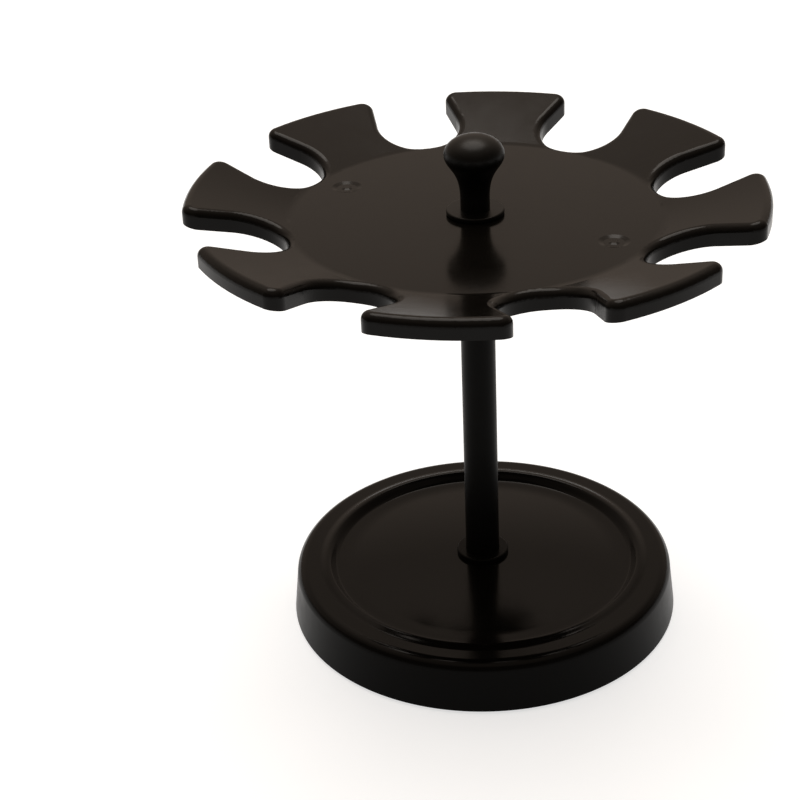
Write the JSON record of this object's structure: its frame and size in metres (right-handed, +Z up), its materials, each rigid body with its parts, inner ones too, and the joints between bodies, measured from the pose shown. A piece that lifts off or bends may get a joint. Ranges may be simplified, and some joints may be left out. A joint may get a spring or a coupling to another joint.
{
  "type": "desk stamp carousel",
  "caption": "Desk carousel for hand stamps: a dished disc with open slots between flared arms turns on a thin post over a round weighted base, with a knob on top.",
  "frame": {"origin": "centre of the base on the plane that the feet rest on", "axes": "+Z up along the post; +X along the middle of the first slot of the rack at rest"},
  "size_m": [0.1472, 0.1472, 0.1408],
  "materials": {
    "rack_plastic": "gloss moulded ABS, warm black",
    "base_plastic": "gloss moulded ABS, warm black",
    "post_plastic": "gloss moulded ABS, black",
    "knob_plastic": "gloss moulded ABS, black",
    "cover_plastic": "fine-grained moulded ABS, black",
    "rubber": "matt moulded rubber, black",
    "ballast_steel": "stamped steel with a thin dark coat",
    "zinc_steel": "zinc-plated steel",
    "spring_steel": "blackened spring steel",
    "brass": "turned brass",
    "acetal": "natural white acetal",
    "nylon": "natural nylon sheet"
  },
  "bodies": {
    "stand": {"base_shell": "base_plastic", "ballast_ring": "ballast_steel", "base_cover": "cover_plastic", "cover_screws": "zinc_steel", "foot_pad_1": "rubber", "foot_pad_2": "rubber", "foot_pad_3": "rubber", "foot_pad_4": "rubber", "foot_ring": "post_plastic", "post_tube": "post_plastic", "tie_rod": "zinc_steel", "rod_nut": "zinc_steel", "lock_washer": "spring_steel", "rod_washer": "zinc_steel", "pivot_cap": "acetal", "lower_slip_washer": "nylon", "knob_ring": "knob_plastic", "knob": "knob_plastic", "knob_insert": "brass"},
    "rack": {"rack_disc": "rack_plastic", "hub_bush": "acetal", "upper_slip_washer": "nylon"}
  },
  "joints": [
    {"name": "rack_spin", "type": "hinge", "parent": "stand", "child": "rack", "pos_m": [0, 0, 0.1196], "axis": [0, 0, 1], "continuous": true}
  ]
}
